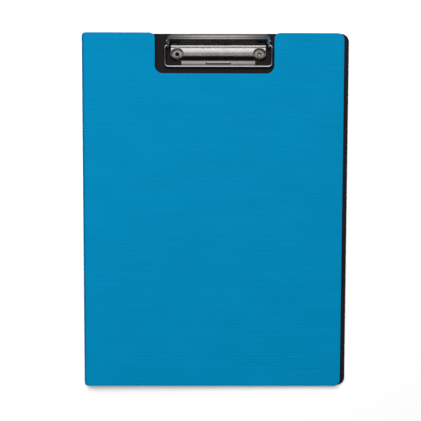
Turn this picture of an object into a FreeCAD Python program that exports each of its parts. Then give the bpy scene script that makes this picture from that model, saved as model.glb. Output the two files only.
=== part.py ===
# A4 fold-over clipboard: two foil-covered boards joined by a thin spine, and a
# nickel-plated wire clip riveted to the back board.
# Units are millimetres.  +X is the fore edge (away from the spine), +Y the head
# (clip end), +Z the face the cover lies on.  The origin is the middle of the
# footprint, on the surface that the closed clipboard lies on.
import FreeCAD, Part
import math
import os

V = FreeCAD.Vector

# ---------------------------------------------------------------- dimensions
WIDTH = 239.0            # closed, spine fold to fore edge
LENGTH = 320.0           # head to tail
HALF_W, HALF_L = WIDTH / 2, LENGTH / 2

SKIN_T = 0.4             # coloured outer foil
LINING_T = 0.3           # black inner foil
BACK_CORE_T = 1.8        # greyboard in the back
COVER_CORE_T = 1.4       # greyboard in the cover
BACK_T = SKIN_T + BACK_CORE_T + LINING_T
COVER_T = SKIN_T + COVER_CORE_T + LINING_T
BACK_SEAM_Z = 0.9        # height of the welded seam on the back's edge
COVER_SEAM = 0.8         # seam below the cover's outer face
CORE_INSET = 2.2         # welded margin round each greyboard
BACK_CORNER_R = 7.2
COVER_CORNER_R = 6.0
FOLD_CORNER_R = 4.0      # corners at the fold, seen from the front

FOLD_R = 2.0             # outer radius of each fold
CAPACITY = 4.0           # room between the boards at the spine
TOP_Z = BACK_T + CAPACITY + COVER_T
SPINE_STIFF_T = 1.1
COVER_LEAN = 0.90        # degrees: the closed cover leans down to the fore edge
COVER_RIGHT_X = 115.0    # cover's fore edge, short of the back's
FOLD_X = -HALF_W + FOLD_R

NOTCH_X0, NOTCH_X1 = -54.2, 52.5
NOTCH_DEPTH = 36.0
NOTCH_R = 7.2            # inner corners
NOTCH_LIP_R = 5.2        # rounded entry at the head edge

CLIP_X = 2.4             # the clip sits in the middle of the back board
PLATE_T = 0.8
PLATE_HALF_W = 43.4
PLATE_CORNER_R = 5.0
TONGUE_HALF_W = 33.0
RIVET_X = 36.75          # half the rivet spacing
RIVET_D = 19.0           # distance of the rivets from the head edge
ROD_R = 1.1
PIVOT_D, PIVOT_H = 7.6, 3.2
ROD_HALF_L = 46.4
LEVER_T = 0.8
FLANGE_X0, FLANGE_X1 = 44.8, 45.6
LIP_HALF_W = 43.5        # finger lip, narrower than the splayed flanges
EAR_X0, EAR_X1 = 43.7, 44.5
WIRE_R = 1.05
WIRE_LEG_X = 47.75
WIRE_FRONT_D, WIRE_FRONT_H = 29.6, 1.92
WIRE_REAR_D, WIRE_REAR_H = 11.6, 3.75
SPRING_WIRE_R = 0.4
SPRING_MEAN_R = 1.98
SPRING_TURNS = 5.3125
SPRING_PITCH = 0.95
SPRING_X = 31.0

EPS = 1e-7
os.makedirs("parts", exist_ok=True)


# ------------------------------------------------------------------- helpers
def path2d(points, radii, closed=True):
    """Edges through 2-D points with a tangent arc at each corner."""
    n = len(points)
    corners = []
    for i in range(n):
        p = points[i]
        r = radii[i]
        if not closed and i in (0, n - 1):
            r = 0
        if r <= 0:
            corners.append((p, p, None))
            continue
        a, b = points[i - 1], points[(i + 1) % n]
        da = math.hypot(a[0] - p[0], a[1] - p[1])
        db = math.hypot(b[0] - p[0], b[1] - p[1])
        ua = ((a[0] - p[0]) / da, (a[1] - p[1]) / da)
        ub = ((b[0] - p[0]) / db, (b[1] - p[1]) / db)
        dot = max(-1.0, min(1.0, ua[0] * ub[0] + ua[1] * ub[1]))
        half = math.acos(dot) / 2
        t = r / math.tan(half)
        s = (p[0] + ua[0] * t, p[1] + ua[1] * t)
        e = (p[0] + ub[0] * t, p[1] + ub[1] * t)
        bis = (ua[0] + ub[0], ua[1] + ub[1])
        m = math.hypot(*bis)
        c = (p[0] + bis[0] / m * r / math.sin(half), p[1] + bis[1] / m * r / math.sin(half))
        mid = (c[0] - bis[0] / m * r, c[1] - bis[1] / m * r)
        corners.append((s, e, mid))
    return corners


def wire2d(points, radii, place, closed=True):
    corners = path2d(points, radii, closed)
    edges = []
    n = len(corners)
    for i, (s, e, mid) in enumerate(corners):
        if mid is not None:
            edges.append(Part.Arc(place(*s), place(*mid), place(*e)).toShape())
        if closed or i < n - 1:
            q = corners[(i + 1) % n][0]
            if math.hypot(q[0] - e[0], q[1] - e[1]) > 1e-6:
                edges.append(Part.LineSegment(place(*e), place(*q)).toShape())
    return Part.Wire(edges)


def prism(points, radii, place, along):
    return Part.Face(wire2d(points, radii, place)).extrude(along)


def xy(z):
    return lambda x, y: V(x, y, z)


def dh(x):
    """(distance from the head edge, height above the board) at a given X."""
    return lambda d, h: V(x, HALF_L - d, BACK_T + h)


def plate_xy(points, radii, z0, z1):
    return prism(points, radii, xy(z0), V(0, 0, z1 - z0))


def bent_sheet(centre, radii, t, place, along):
    """A bent sheet: its centre line, its thickness and the run of its width."""
    corners = path2d(centre, radii, closed=False)
    sides = []
    for sign in (1, -1):
        line = []
        for i in range(len(corners)):
            s, e, mid = corners[i]
            if mid is None:
                if i == 0:
                    q = corners[1][0]
                    d = (q[0] - e[0], q[1] - e[1])
                else:
                    q = corners[i - 1][1]
                    d = (s[0] - q[0], s[1] - q[1])
                m = math.hypot(*d)
                nrm = (-d[1] / m, d[0] / m)
                line.append(("p", (s[0] + sign * nrm[0] * t / 2, s[1] + sign * nrm[1] * t / 2)))
            else:
                q = corners[i - 1][1]
                d0 = (s[0] - q[0], s[1] - q[1])
                m = math.hypot(*d0)
                n0 = (-d0[1] / m, d0[0] / m)
                q = corners[i + 1][0]
                d1 = (q[0] - e[0], q[1] - e[1])
                m = math.hypot(*d1)
                n1 = (-d1[1] / m, d1[0] / m)
                nm = (n0[0] + n1[0], n0[1] + n1[1])
                m = math.hypot(*nm)
                nm = (nm[0] / m, nm[1] / m)
                o = sign * t / 2
                line.append(("a", (s[0] + n0[0] * o, s[1] + n0[1] * o),
                             (mid[0] + nm[0] * o, mid[1] + nm[1] * o),
                             (e[0] + n1[0] * o, e[1] + n1[1] * o)))
        sides.append(line)
    edges = []
    first = sides[0]
    back = [x if x[0] == "p" else ("a", x[3], x[2], x[1]) for x in reversed(sides[1])]
    loop = first + back
    ends = []
    for item in loop:
        if item[0] == "a":
            edges.append(Part.Arc(place(*item[1]), place(*item[2]), place(*item[3])).toShape())
            ends.append((item[1], item[3], edges[-1]))
        else:
            ends.append((item[1], item[1], None))
    full = []
    for i, (s, e, edge) in enumerate(ends):
        if edge is not None:
            full.append(edge)
        q = ends[(i + 1) % len(ends)][0]
        if math.hypot(q[0] - e[0], q[1] - e[1]) > 1e-6:
            full.append(Part.LineSegment(place(*e), place(*q)).toShape())
    return Part.Face(Part.Wire(Part.__sortEdges__(full))).extrude(along)


def sheet_dh(centre, radii, t, x0, x1):
    return bent_sheet(centre, radii, t, dh(x0), V(x1 - x0, 0, 0))


def sheet_xh(centre, radii, t, d0, d1):
    return bent_sheet(centre, radii, t, lambda x, h: V(CLIP_X + x, HALF_L - d1, BACK_T + h), V(0, d1 - d0, 0))


def cyl(p, axis, r, length):
    return Part.makeCylinder(r, length, p, axis)


def fillet(shape, radius, chosen):
    edges = [e for e in shape.Edges if chosen(e)]
    return shape.makeFillet(radius, edges) if edges else shape


def at_height(z, skip_x=None):
    """Edges lying at one height, leaving out a straight side at one X."""
    def test(e):
        b = e.BoundBox
        if abs(b.ZMin - z) > 1e-5 or abs(b.ZMax - z) > 1e-5:
            return False
        if skip_x is not None and abs(b.XMin - skip_x) < 1e-5 and abs(b.XMax - skip_x) < 1e-5:
            return False
        return True
    return test


made = {}


def save(name, shape):
    if not shape.isValid():
        shape = shape.removeSplitter()
    solids = shape.Solids
    bad = [s for s in solids if not s.isValid() or s.Volume <= 0]
    print("%-20s solids %d valid %s volume %.2f" % (name, len(solids), not bad and shape.isValid(), shape.Volume))
    made[name] = shape
    out = solids[0] if len(solids) == 1 else Part.makeCompound(solids)
    out.exportStep("parts/%s.step" % name)


# -------------------------------------------------------- back board (lies flat)
silhouette = lambda z0, z1: plate_xy(
    [(-HALF_W, -HALF_L), (HALF_W, -HALF_L), (HALF_W, HALF_L), (-HALF_W, HALF_L)],
    [FOLD_CORNER_R, BACK_CORNER_R, BACK_CORNER_R, FOLD_CORNER_R], z0, z1)

right_of_fold = Part.makeBox(WIDTH + 10, LENGTH + 10, 60, V(FOLD_X, -HALF_L - 5, -20))

back_outline = silhouette(0, BACK_T).common(right_of_fold)
core_x0 = FOLD_X + 0.9
back_core = plate_xy(
    [(core_x0, -HALF_L + CORE_INSET), (HALF_W - CORE_INSET, -HALF_L + CORE_INSET),
     (HALF_W - CORE_INSET, HALF_L - CORE_INSET), (core_x0, HALF_L - CORE_INSET)],
    [2, BACK_CORNER_R - CORE_INSET, BACK_CORNER_R - CORE_INSET, 2],
    SKIN_T, SKIN_T + BACK_CORE_T)
back_block = fillet(back_outline, 0.7, at_height(0, FOLD_X))
back_block = fillet(back_block, 1.2, at_height(BACK_T, FOLD_X))
low = Part.makeBox(300, 400, BACK_SEAM_Z, V(-150, -200, 0))
high = Part.makeBox(300, 400, 10, V(-150, -200, BACK_SEAM_Z))
back_skin = back_block.common(low).cut(back_core)
back_lining = back_block.common(high).cut(back_core)

rivet_at = [(CLIP_X - RIVET_X, HALF_L - RIVET_D), (CLIP_X + RIVET_X, HALF_L - RIVET_D)]
SHANK_R, HOLE_R = 2.0, 2.06
WASHER_R, WASHER_T, SINK_R = 4.5, 0.5, 4.7
SINK_Z = 0.95
for x, y in rivet_at:
    hole = cyl(V(x, y, -1), V(0, 0, 1), HOLE_R, 10)
    sink = cyl(V(x, y, -1), V(0, 0, 1), SINK_R, 1 + SINK_Z)
    back_skin = back_skin.cut(sink).cut(hole)
    back_core = back_core.cut(sink).cut(hole)
    back_lining = back_lining.cut(hole)
save("back_skin", back_skin)
save("back_core", back_core)
save("back_lining", back_lining)


# ------------------------------------------------------------- folds and spine
def fold_web(cx, cz, r_out, r_in, a0, a1):
    """Part of a ring round (cx, cz), from angle a0 to a1 in the X-Z plane."""
    def pt(r, a):
        return V(cx + r * math.cos(math.radians(a)), -HALF_L, cz + r * math.sin(math.radians(a)))
    am = (a0 + a1) / 2
    edges = [Part.Arc(pt(r_out, a0), pt(r_out, am), pt(r_out, a1)).toShape(),
             Part.LineSegment(pt(r_out, a1), pt(r_in, a1)).toShape(),
             Part.Arc(pt(r_in, a1), pt(r_in, am), pt(r_in, a0)).toShape(),
             Part.LineSegment(pt(r_in, a0), pt(r_out, a0)).toShape()]
    return Part.Face(Part.Wire(edges)).extrude(V(0, LENGTH, 0))


LOW_C = (FOLD_X, FOLD_R)
HIGH_C = (FOLD_X, TOP_Z - FOLD_R)
tall = silhouette(-5, TOP_Z + 5)
r0, r1, r2 = FOLD_R, FOLD_R - SKIN_T, FOLD_R - SKIN_T - LINING_T
save("rear_hinge_skin", fold_web(*LOW_C, r0, r1, 180, 270).common(tall))
save("rear_hinge_lining", fold_web(*LOW_C, r1, r2, 180, 270).common(tall))
save("front_hinge_skin", fold_web(*HIGH_C, r0, r1, 90 - COVER_LEAN, 180).common(tall))
save("front_hinge_lining", fold_web(*HIGH_C, r1, r2, 90 - COVER_LEAN, 180).common(tall))

SPINE_L = LENGTH - 2 * FOLD_CORNER_R
sz0, sz1 = LOW_C[1], HIGH_C[1]
sx = [-HALF_W, -HALF_W + SKIN_T, -HALF_W + SKIN_T + SPINE_STIFF_T, -HALF_W + SKIN_T + SPINE_STIFF_T + LINING_T]
block = Part.makeBox(sx[3] - sx[0], SPINE_L, sz1 - sz0, V(sx[0], -SPINE_L / 2, sz0))
stiff = Part.makeBox(sx[2] - sx[1], SPINE_L - 6, sz1 - sz0 - 0.8, V(sx[1], -SPINE_L / 2 + 3, sz0 + 0.4))
outer = Part.makeBox(SKIN_T, 400, 20, V(sx[0], -200, -5))
save("spine_stiffener", stiff)
save("spine_skin", block.common(outer))
save("spine_lining", block.cut(outer).cut(stiff))

# ------------------------------------------------------------------- cover
cover_top, cover_low = TOP_Z, TOP_Z - COVER_T
n0, n1, nd = NOTCH_X0, NOTCH_X1, HALF_L - NOTCH_DEPTH
fold_corner_y = HALF_L - FOLD_CORNER_R + math.sqrt(FOLD_CORNER_R ** 2 - FOLD_R ** 2)


def cover_outline(inset, z0, z1, x_left):
    k = inset
    top = HALF_L - k
    pts = [(x_left, -top), (COVER_RIGHT_X - k, -top), (COVER_RIGHT_X - k, top),
           (n1 + k, top), (n1 + k, nd - k), (n0 - k, nd - k), (n0 - k, top), (x_left, top)]
    rad = [0 if k == 0 else 1.5, COVER_CORNER_R - k, COVER_CORNER_R - k,
           NOTCH_LIP_R - k, NOTCH_R + k, NOTCH_R + k, NOTCH_LIP_R - k, 0 if k == 0 else 1.5]
    return plate_xy(pts, rad, z0, z1)


cover_block = cover_outline(0, cover_low, cover_top, FOLD_X).common(
    plate_xy([(-HALF_W, -HALF_L), (HALF_W, -HALF_L), (HALF_W, HALF_L), (-HALF_W, HALF_L)],
             [FOLD_CORNER_R, 1, 1, FOLD_CORNER_R], -5, 40))
cover_core = cover_outline(2.0, cover_low + LINING_T, cover_top - SKIN_T, FOLD_X + 0.9)
cover_block = fillet(cover_block, 0.6, at_height(cover_top, FOLD_X))
cover_block = fillet(cover_block, 0.5, at_height(cover_low, FOLD_X))
seam_z = cover_top - COVER_SEAM
cover_skin = cover_block.common(Part.makeBox(300, 400, 10, V(-150, -200, seam_z))).cut(cover_core)
cover_lining = cover_block.common(Part.makeBox(300, 400, 10, V(-150, -200, seam_z - 10))).cut(cover_core)
for name, shape in (("cover_skin", cover_skin), ("cover_core", cover_core), ("cover_lining", cover_lining)):
    shape = shape.copy()
    shape.rotate(V(HIGH_C[0], 0, HIGH_C[1]), V(0, 1, 0), COVER_LEAN)
    save(name, shape)

# ------------------------------------------------------------ clip base plate
Z0 = BACK_T

def arch_prism(drop, x0, x1):
    """Solid under the arched field: its top lowered by drop, its foot narrowed by drop."""
    pts = [(9.0 + drop, -1.0), (9.35 + drop * 0.9, 0.8 - drop), (10.4 + drop * 0.7, 2.78 - drop), (12.4 + drop * 0.1, 3.06 - drop),
           (16.3, 3.75 - drop), (21.0 - drop * 0.2, 2.95 - drop), (23.9 - drop * 0.8, 0.8 - drop), (24.3 - drop, -1.0)]
    rad = [0, 0.3, 0.6, 6.0, 14.0, 7.5, 0.6, 0]
    return prism(pts, rad, dh(x0), V(x1 - x0, 0, 0))


def end_prism(drop):
    """The field's rounded ends, as a section in (X, height) run along Y."""
    w = PLATE_HALF_W - drop
    top = 4.6 - drop
    pts = [(-w, -1.0), (w, -1.0), (w, top), (-w, top)]
    rad = [0, 0, 3.4 - drop, 3.4 - drop]
    return prism(pts, rad, lambda x, h: V(CLIP_X + x, HALF_L - 40, Z0 + h), V(0, 40, 0))


X0, X1 = CLIP_X - 60, CLIP_X + 60
plan = lambda x, d: V(CLIP_X + x, HALF_L - d, Z0)


def field_plan(drop):
    w = PLATE_HALF_W - drop
    return prism([(-w, 8 + drop), (w, 8 + drop), (w, 24.2 - drop), (-w, 24.2 - drop)],
                 [0, 0, PLATE_CORNER_R - drop, PLATE_CORNER_R - drop], plan, V(0, 0, 12))


outer_field = arch_prism(0, X0, X1).common(end_prism(0)).common(field_plan(0))
inner_field = arch_prism(PLATE_T, X0, X1).common(end_prism(PLATE_T)).common(field_plan(PLATE_T))
SEAT_R, SEAT_SLOPE = 3.5, 0.722          # floor radius of a rivet seat, outward run per mm of rise
seat_wall = PLATE_T * math.sqrt(1 + SEAT_SLOPE ** 2)
for x, y in rivet_at:
    outer_field = outer_field.cut(Part.makeCone(SEAT_R, SEAT_R + 3.6 * SEAT_SLOPE, 3.6,
                                                V(x, y, Z0 + PLATE_T), V(0, 0, 1)))
    inner_field = inner_field.cut(Part.makeCone(SEAT_R + seat_wall - 0.9 * SEAT_SLOPE,
                                                SEAT_R + seat_wall + 3.5 * SEAT_SLOPE, 4.4,
                                                V(x, y, Z0 - 0.1), V(0, 0, 1)))
field = outer_field.cut(inner_field)

tongue = prism([(-TONGUE_HALF_W, 23.0), (TONGUE_HALF_W, 23.0), (TONGUE_HALF_W, 29.7), (-TONGUE_HALF_W, 29.7)],
               [0, 0, 0.9, 0.9], plan, V(0, 0, PLATE_T))
rear = prism([(-PLATE_HALF_W, 3.4), (PLATE_HALF_W, 3.4), (PLATE_HALF_W, 9.9), (-PLATE_HALF_W, 9.9)],
             [1.2, 1.2, 0, 0], plan, V(0, 0, PLATE_T))
bead = prism([(-11.5, 25.0), (11.5, 25.0), (11.5, 27.6), (-11.5, 27.6)], [1.25] * 4, plan, V(0, 0, PLATE_T + 0.65))
bead = fillet(bead, 0.5, at_height(Z0 + PLATE_T + 0.65))
plate = field.fuse([tongue, rear]).fuse(bead)

# ears: stand up from the ends of the rear flat
for side in (-1, 1):
    xa = CLIP_X + side * EAR_X0
    xb = CLIP_X + side * EAR_X1
    lo, hi = min(xa, xb), max(xa, xb)
    ear = prism([(4.9, 0.0), (10.2, 0.0), (10.2, 3.4), (9.0, 5.3), (6.2, 5.3), (4.9, 3.4)],
                [0, 0, 1.4, 1.1, 1.1, 1.4], dh(lo), V(hi - lo, 0, 0))
    foot_lo = min(CLIP_X + side * (PLATE_HALF_W - 1.0), xb)
    foot = prism([(4.9, 0.0), (10.2, 0.0), (10.2, PLATE_T), (4.9, PLATE_T)], [0] * 4,
                 dh(foot_lo), V(abs(xb - CLIP_X - side * (PLATE_HALF_W - 1.0)), 0, 0))
    foot = foot if side > 0 else prism([(4.9, 0.0), (10.2, 0.0), (10.2, PLATE_T), (4.9, PLATE_T)], [0] * 4,
                                       dh(lo), V(EAR_X1 - PLATE_HALF_W + 1.0, 0, 0))
    plate = plate.fuse([ear, foot])
pivot = V(CLIP_X, HALF_L - PIVOT_D, Z0 + PIVOT_H)
plate = plate.cut(cyl(V(CLIP_X - 60, pivot.y, pivot.z), V(1, 0, 0), ROD_R + 0.01, 120).common(
    Part.makeBox(200, 40, 40, V(-100, HALF_L - 40, Z0 + PLATE_T))))
for x, y in rivet_at:
    plate = plate.cut(cyl(V(x, y, Z0 - 1), V(0, 0, 1), HOLE_R, 6))
plate = plate.removeSplitter()
save("clip_base_plate", plate)

# ------------------------------------------------------------ rivets, washers
rivets, washers = [], []
for x, y in rivet_at:
    z_floor = Z0 + PLATE_T
    prof = [(0.0, 0.42), (1.2, 0.42), (1.45, 0.06), (3.1, 0.06), (3.1, 0.42), (SHANK_R, 0.42), (SHANK_R, z_floor),
            (2.95, z_floor), (2.95, z_floor + 0.42), (2.2, z_floor + 0.95), (1.55, z_floor + 0.62),
            (1.4, z_floor - 1.0), (0.0, z_floor - 1.0)]
    rad = [0, 0.1, 0.1, 0.12, 0.0, 0, 0, 0.1, 0.3, 0.35, 0.3, 0, 0]
    w = wire2d(prof, rad, lambda r, z: V(x + r, y, z))
    rivets.append(Part.Face(w).revolve(V(x, y, 0), V(0, 0, 1), 360))
    ring = cyl(V(x, y, 0.43), V(0, 0, 1), WASHER_R, WASHER_T).cut(cyl(V(x, y, 0), V(0, 0, 1), HOLE_R, 3))
    washers.append(ring)
save("clip_rivets", Part.makeCompound(rivets))
save("rivet_washers", Part.makeCompound(washers))

# ------------------------------------------------------------------ pivot rod
rod = cyl(V(CLIP_X - ROD_HALF_L, pivot.y, pivot.z), V(1, 0, 0), ROD_R, 2 * ROD_HALF_L)
for side in (-1, 1):
    x = CLIP_X + side * (ROD_HALF_L - 0.5)
    head = cyl(V(min(x, x + side * 0.5), pivot.y, pivot.z), V(1, 0, 0), 1.75, 0.5)
    rod = rod.fuse(head)
rod = rod.removeSplitter()
rod = fillet(rod, 0.2, lambda e: abs(abs(e.BoundBox.Center.x - CLIP_X) - ROD_HALF_L) < 0.01 and e.BoundBox.YLength > 3)
save("pivot_rod", rod)

# ------------------------------------------------------------------ clip lever
centre = [(2.5, 8.7), (2.7, 9.75), (5.9, 9.75), (6.75, 10.55), (8.2, 9.35), (10.75, 3.2)]
radii = [0, 0.85, 0.55, 0.6, 1.4, 0]
body = sheet_dh(centre, radii, LEVER_T, CLIP_X - LIP_HALF_W, CLIP_X + LIP_HALF_W)
body = body.common(prism([(-LIP_HALF_W, 2.0), (LIP_HALF_W, 2.0), (LIP_HALF_W, 14), (-LIP_HALF_W, 14)],
                         [2.6, 2.6, 0, 0], plan, V(0, 0, 14)))
WALL_HALF_W = 42.5
side_run = [(LIP_HALF_W - 0.4, 12.0), (LIP_HALF_W - 0.4, 8.9), (FLANGE_X0 + 0.4, 5.9), (FLANGE_X0 + 0.4, -1.0)]
for side in (-1, 1):
    lo = CLIP_X + (WALL_HALF_W if side > 0 else -FLANGE_X1)
    body = body.cut(prism([(6.5, 9.0), (14, 9.0), (14, 1), (6.5, 1)], [0] * 4, dh(lo),
                          V(FLANGE_X1 - WALL_HALF_W, 0, 0)))
    lo = CLIP_X + (42.0 if side > 0 else -46.5)
    outline = prism([(3.4, 9.7), (8.4, 9.7), (13.6, 5.4), (13.6, 2.5), (10.0, 1.7), (8.9, 0.55), (6.3, 0.55),
                     (4.7, 2.2), (4.9, 5.5), (3.4, 8.4)],
                    [0.6, 2.2, 1.2, 1.2, 1.0, 1.4, 1.4, 1.5, 1.5, 0.6], dh(lo), V(4.5, 0, 0))
    turned = [(side * x, h) for x, h in side_run]
    splay = sheet_xh(turned, [0, 1.4, 1.4, 0], LEVER_T, 0.0, 16.0)
    body = body.fuse(outline.common(splay))
body = body.cut(cyl(V(CLIP_X - 60, pivot.y, pivot.z), V(1, 0, 0), ROD_R + 0.06, 120))
body = body.cut(cyl(V(CLIP_X - 60, HALF_L - WIRE_REAR_D, Z0 + WIRE_REAR_H), V(1, 0, 0), WIRE_R + 0.01, 120))
body = body.removeSplitter()
save("clip_lever", body)

# ------------------------------------------------------------------- wire jaw
slope = math.atan2(WIRE_REAR_H - WIRE_FRONT_H, WIRE_FRONT_D - WIRE_REAR_D)
run = math.hypot(WIRE_REAR_H - WIRE_FRONT_H, WIRE_FRONT_D - WIRE_REAR_D)


def wire_at(x, s):
    """x across the clip, s forward along the plane of the bent wire."""
    return V(CLIP_X + x, HALF_L - WIRE_REAR_D - s * math.cos(slope), Z0 + WIRE_REAR_H - s * math.sin(slope))


IN_X = 44.0
pts = [(-IN_X, 0), (-WIRE_LEG_X, 0), (-WIRE_LEG_X, run), (WIRE_LEG_X, run), (WIRE_LEG_X, 0), (IN_X, 0)]
spine_wire = wire2d(pts, [0, 1.8, 3.0, 3.0, 1.8, 0], wire_at, closed=False)
circle = Part.Wire(Part.makeCircle(WIRE_R, wire_at(-IN_X, 0), V(-1, 0, 0)))
jaw = spine_wire.makePipeShell([circle], True, True)
expected = math.pi * WIRE_R ** 2 * spine_wire.Length
print("wire jaw volume over section times length: %.4f" % (jaw.Volume / expected))
jaw = Part.Solid(Part.Shell(jaw.Faces)) if not jaw.Solids else jaw
save("wire_jaw", jaw)

# ------------------------------------------------------------ torsion springs
length = SPRING_TURNS * SPRING_PITCH
helix = Part.makeHelix(SPRING_PITCH, length, SPRING_MEAN_R)
# local x to -Z, local y to -Y, local z to -X: the coil starts under the rod and ends in front of it
start = V(CLIP_X + SPRING_X + length / 2, pivot.y, pivot.z)
helix.Placement = FreeCAD.Placement(FreeCAD.Matrix(0, 0, -1, start.x, 0, -1, 0, start.y, -1, 0, 0, start.z, 0, 0, 0, 1))
first, last = helix.Edges[0], helix.Edges[-1]
p0, t0 = first.valueAt(first.FirstParameter), first.tangentAt(first.FirstParameter)
p1, t1 = last.valueAt(last.LastParameter), last.tangentAt(last.LastParameter)
coil = Part.Wire(helix.Edges).makePipeShell([Part.Wire(Part.makeCircle(SPRING_WIRE_R, p0, t0))], True, True)
coil = coil.fuse([cyl(p0, t0 * -1, SPRING_WIRE_R, 3.6), cyl(p1, t1, SPRING_WIRE_R, 3.0)]).removeSplitter()
print("spring ends", p0, t0, p1, t1)
shapes = [coil, coil.mirror(V(CLIP_X, 0, 0), V(1, 0, 0))]
save("torsion_springs", Part.makeCompound(shapes))

total = Part.makeCompound(list(made.values())).optimalBoundingBox(True, False)
print("overall", total)
web = math.pi / 4 * (FOLD_R - (SKIN_T + LINING_T) / 2)   # half the length of a fold's web
print("fold axes: rear (%.3f, %.3f) front (%.3f, %.3f)" % (
    LOW_C[0] - web, LOW_C[1] - web, HIGH_C[0] - web, HIGH_C[1] + web))
print("pivot", pivot)
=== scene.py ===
import math
import bpy
import bmesh
import numpy as np
from mathutils import Matrix, Vector


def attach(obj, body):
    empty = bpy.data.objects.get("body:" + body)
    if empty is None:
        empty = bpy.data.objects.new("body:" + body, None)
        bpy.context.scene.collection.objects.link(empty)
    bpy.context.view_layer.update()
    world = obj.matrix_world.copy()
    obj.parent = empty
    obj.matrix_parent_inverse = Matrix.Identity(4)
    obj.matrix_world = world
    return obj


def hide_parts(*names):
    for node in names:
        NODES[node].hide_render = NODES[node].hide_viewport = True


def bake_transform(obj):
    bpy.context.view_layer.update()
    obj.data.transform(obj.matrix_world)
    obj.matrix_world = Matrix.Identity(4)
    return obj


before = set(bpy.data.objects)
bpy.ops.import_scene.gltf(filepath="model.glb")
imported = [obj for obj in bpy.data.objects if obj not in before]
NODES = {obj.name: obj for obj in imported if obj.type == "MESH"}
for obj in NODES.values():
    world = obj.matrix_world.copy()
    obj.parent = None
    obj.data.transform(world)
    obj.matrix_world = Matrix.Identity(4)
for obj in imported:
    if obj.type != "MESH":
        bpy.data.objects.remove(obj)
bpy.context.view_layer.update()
MM = 0.001

# ------------------------------------------------------------ sizes, in mm
HALF_W, HALF_L = 119.5, 160.0
FOLD_R = 2.0
FOLD_X = -HALF_W + FOLD_R
SKIN_T, LINING_T = 0.4, 0.3
BACK_T = 2.5
TOP_Z = 8.6
LOW_C, HIGH_C = (FOLD_X, 2.0), (FOLD_X, TOP_Z - 2.0)
LEAN = math.radians(0.90)
COVER_RIGHT_X = 115.0
NOTCH = (-54.2, 52.5, HALF_L - 36.0, 7.2, 5.2)
CLIP_X = 2.4
RIB_PITCH, RIB_DEPTH = 2.14, 0.18

rng = np.random.default_rng(11)
RIB_AMP = 0.75 + 0.5 * rng.random(400)
RIB_SHIFT = (rng.random(400) - 0.5) * 0.16


# ---------------------------------------------------------------- helpers
def new_object(name, verts_mm, faces, smooth=True, angle=35.0):
    mesh = bpy.data.meshes.new(name)
    mesh.from_pydata([tuple(float(c) * MM for c in v) for v in verts_mm], [], [tuple(int(i) for i in f) for f in faces])
    mesh.validate()
    bm = bmesh.new()
    bm.from_mesh(mesh)
    bmesh.ops.recalc_face_normals(bm, faces=bm.faces)
    bm.to_mesh(mesh)
    bm.free()
    obj = bpy.data.objects.new(name, mesh)
    bpy.context.scene.collection.objects.link(obj)
    if smooth:
        shade(obj, angle)
    return obj


def shade(obj, angle=35.0):
    """Smooth shading, with edges sharper than angle kept sharp."""
    mesh = obj.data
    bm = bmesh.new()
    bm.from_mesh(mesh)
    limit = math.radians(angle)
    for f in bm.faces:
        f.smooth = True
    for e in bm.edges:
        e.smooth = not (len(e.link_faces) != 2 or e.calc_face_angle(0.0) > limit)
    bm.to_mesh(mesh)
    bm.free()


def lean(points):
    """The cover's own coordinates, turned about the front fold's centre."""
    p = np.array(points, float)
    dx, dz = p[..., 0] - HIGH_C[0], p[..., 2] - HIGH_C[1]
    out = p.copy()
    out[..., 0] = HIGH_C[0] + dx * math.cos(LEAN) + dz * math.sin(LEAN)
    out[..., 2] = HIGH_C[1] - dx * math.sin(LEAN) + dz * math.cos(LEAN)
    return out


def rib(x, y):
    """Depth of the pressed ribs below the foil's crests."""
    x, y = np.asarray(x, float), np.asarray(y, float)
    wave = 0.10 * np.sin(x / 23.0 + y / 61.0) + 0.07 * np.sin(x / 9.5 + 1.7 + y / 35.0)
    phase = (y + wave + 200.0) / RIB_PITCH
    i = np.floor(phase).astype(int) % 400
    j = (i + 1) % 400
    f = phase - np.floor(phase)
    amp = RIB_AMP[i] * (1 - f) + RIB_AMP[j] * f
    shift = RIB_SHIFT[i] * (1 - f) + RIB_SHIFT[j] * f
    fade = 0.85 + 0.15 * np.sin(x / 17.0 + i * 0.9)
    groove = (0.5 + 0.5 * np.cos(2 * math.pi * (f + shift))) ** 1.6
    return RIB_DEPTH * amp * fade * groove / 1.25


def arc_reach(over, r):
    """How far a corner arc of radius r still reaches sideways at a height over its centre."""
    return math.sqrt(max(r * r - over * over, 0.0))


def rows_for(extra):
    step = RIB_PITCH / 6
    ys = set(np.round(np.arange(-HALF_L, HALF_L + step / 2, step), 4).tolist())
    ys |= {-HALF_L, HALF_L}
    for d in (0.03, 0.1, 0.2):
        ys |= {HALF_L - d, -HALF_L + d}
    for e in extra:
        ys = {y for y in ys if not (abs(y - e) < 0.12)} | {e, e + 0.03, e + 0.1, e + 0.2}
    ys = sorted(y for y in ys if -HALF_L <= y <= HALF_L)
    keep = [ys[0]]
    for y in ys[1:]:
        if y - keep[-1] > 0.025:
            keep.append(y)
    keep[-1] = HALF_L
    return keep


def remap(y, knots):
    a, b = zip(*knots)
    return float(np.interp(y, a, b))


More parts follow.
